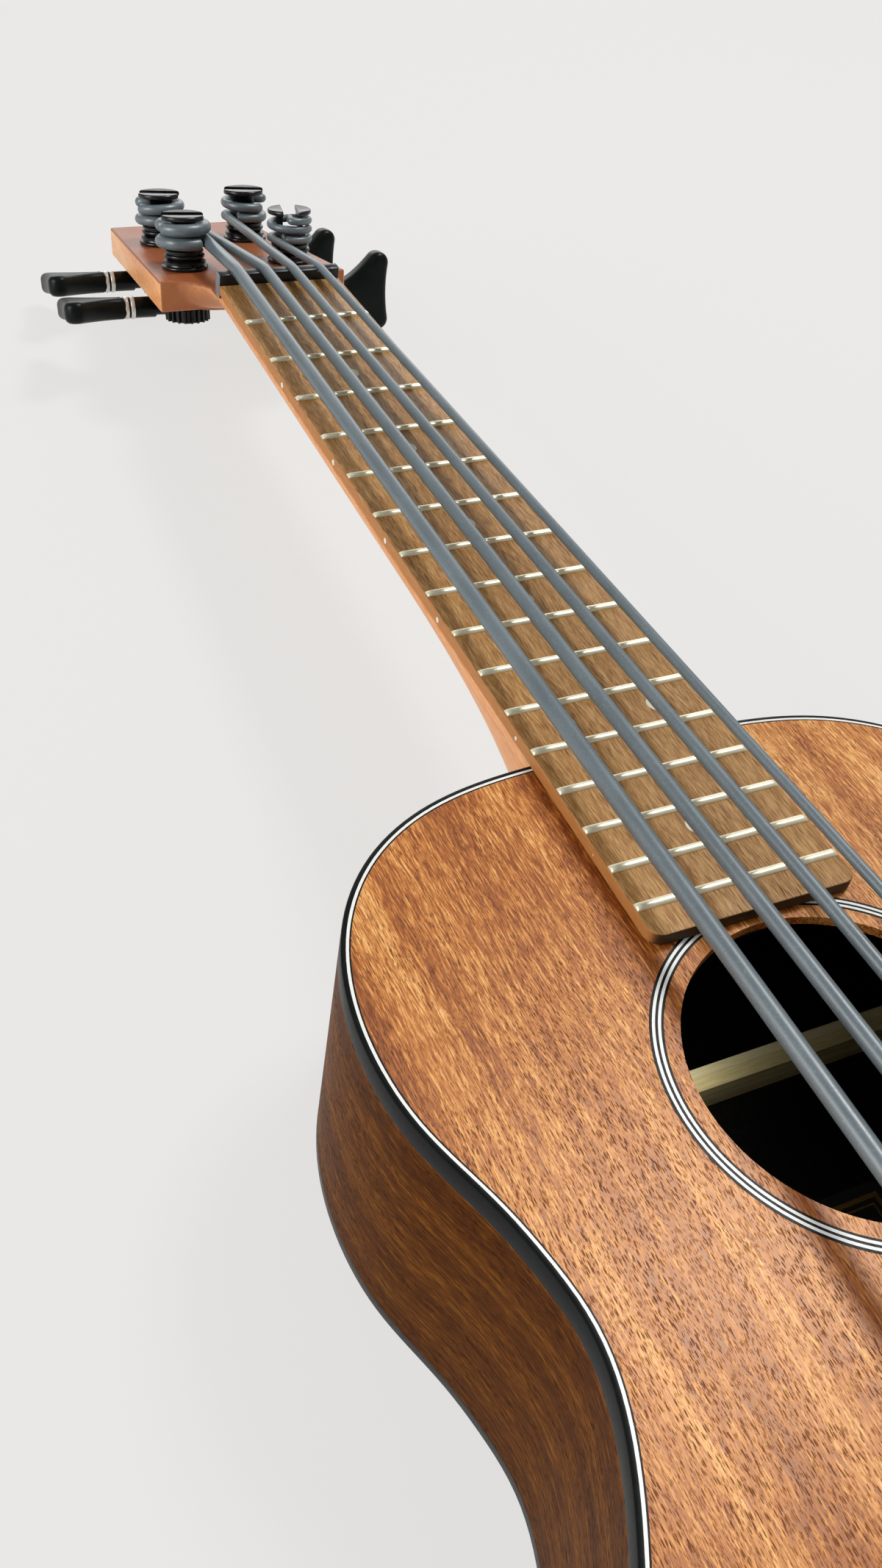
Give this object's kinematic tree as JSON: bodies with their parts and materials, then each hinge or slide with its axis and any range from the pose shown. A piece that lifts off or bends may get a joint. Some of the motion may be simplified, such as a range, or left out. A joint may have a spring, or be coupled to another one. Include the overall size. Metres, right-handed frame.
{
  "type": "bass ukulele",
  "caption": "Short-scale bass ukulele: hollow waisted body with round soundhole, fretted neck, thick rubber strings and geared tuning machines.",
  "frame": {"origin": "on the flat back's outer face, on the middle line, halfway between the body's neck end and tail end", "axes": "+Y along the back towards the headstock, +X to the treble side, +Z out of the back towards the strings"},
  "size_m": [0.2636, 0.7547, 0.1079],
  "materials": {
    "mahogany_top": "satin",
    "mahogany_sides": "satin",
    "neck_wood": "satin",
    "walnut_board": "oiled",
    "spruce": "bare",
    "black_binding": "gloss",
    "black_nut": "satin",
    "saddle_white": "satin",
    "fret_metal": "polished",
    "black_metal": "satin black",
    "rubber_string": "satin"
  },
  "bodies": {
    "instrument": {"soundboard": "mahogany_top", "back_plate": "mahogany_sides", "side_bass": "mahogany_sides", "side_treble": "mahogany_sides", "binding_top": "black_binding", "binding_back": "black_binding", "lining_top": "spruce", "lining_back": "spruce", "neck_block": "spruce", "tail_block": "spruce", "back_brace_upper": "spruce", "back_brace_lower": "spruce", "top_brace_upper": "spruce", "top_brace_lower": "spruce", "bridge_plate": "walnut_board", "bridge": "walnut_board", "fingerboard": "walnut_board", "saddle": "saddle_white", "neck": "neck_wood", "nut": "black_nut", "fret_01": "fret_metal", "fret_02": "fret_metal", "fret_03": "fret_metal", "fret_04": "fret_metal", "fret_05": "fret_metal", "fret_06": "fret_metal", "fret_07": "fret_metal", "fret_08": "fret_metal", "fret_09": "fret_metal", "fret_10": "fret_metal", "fret_11": "fret_metal", "fret_12": "fret_metal", "fret_13": "fret_metal", "fret_14": "fret_metal", "fret_15": "fret_metal", "fret_16": "fret_metal", "string_1": "rubber_string", "string_2": "rubber_string", "string_3": "rubber_string", "string_4": "rubber_string", "tuner_plate_1": "black_metal", "tuner_plate_2": "black_metal", "tuner_plate_3": "black_metal", "tuner_plate_4": "black_metal", "tuner_bushing_1": "black_metal", "tuner_bushing_2": "black_metal", "tuner_bushing_3": "black_metal", "tuner_bushing_4": "black_metal"},
    "post_1": {"tuner_post_1": "black_metal", "string_winding_1": "rubber_string"},
    "key_1": {"tuner_key_1": "black_metal"},
    "post_2": {"tuner_post_2": "black_metal", "string_winding_2": "rubber_string"},
    "key_2": {"tuner_key_2": "black_metal"},
    "post_3": {"tuner_post_3": "black_metal", "string_winding_3": "rubber_string"},
    "key_3": {"tuner_key_3": "black_metal"},
    "post_4": {"tuner_post_4": "black_metal", "string_winding_4": "rubber_string"},
    "key_4": {"tuner_key_4": "black_metal"}
  },
  "joints": [
    {"name": "key_1_turn", "type": "hinge", "parent": "instrument", "child": "key_1", "pos_m": [-0.02127, 0.50119, 0.03009], "axis": [0.9954, -0.0925, 0.025], "continuous": true},
    {"name": "post_1_turn", "type": "hinge", "parent": "instrument", "child": "post_1", "pos_m": [-0.0224, 0.49439, 0.04995], "axis": [0, 0.2611, 0.9653], "continuous": true},
    {"name": "key_2_turn", "type": "hinge", "parent": "instrument", "child": "key_2", "pos_m": [-0.01778, 0.54552, 0.0181], "axis": [0.9976, -0.0673, 0.0182], "continuous": true},
    {"name": "post_2_turn", "type": "hinge", "parent": "instrument", "child": "post_2", "pos_m": [-0.0186, 0.5387, 0.03797], "axis": [0, 0.2611, 0.9653], "continuous": true},
    {"name": "key_3_turn", "type": "hinge", "parent": "instrument", "child": "key_3", "pos_m": [0.01747, 0.5455, 0.0181], "axis": [0.9954, 0.0925, -0.025], "continuous": true},
    {"name": "post_3_turn", "type": "hinge", "parent": "instrument", "child": "post_3", "pos_m": [0.0186, 0.5387, 0.03797], "axis": [0, 0.2611, 0.9653], "continuous": true},
    {"name": "key_4_turn", "type": "hinge", "parent": "instrument", "child": "key_4", "pos_m": [0.02219, 0.50124, 0.03007], "axis": [0.9998, 0.0168, -0.0046], "continuous": true},
    {"name": "post_4_turn", "type": "hinge", "parent": "instrument", "child": "post_4", "pos_m": [0.0224, 0.49439, 0.04995], "axis": [0, 0.2611, 0.9653], "continuous": true}
  ],
  "couplings": [
    {"joint": "post_1_turn", "follows": "key_1_turn", "ratio": 0.05},
    {"joint": "post_2_turn", "follows": "key_2_turn", "ratio": 0.05},
    {"joint": "post_3_turn", "follows": "key_3_turn", "ratio": 0.05},
    {"joint": "post_4_turn", "follows": "key_4_turn", "ratio": 0.05}
  ]
}
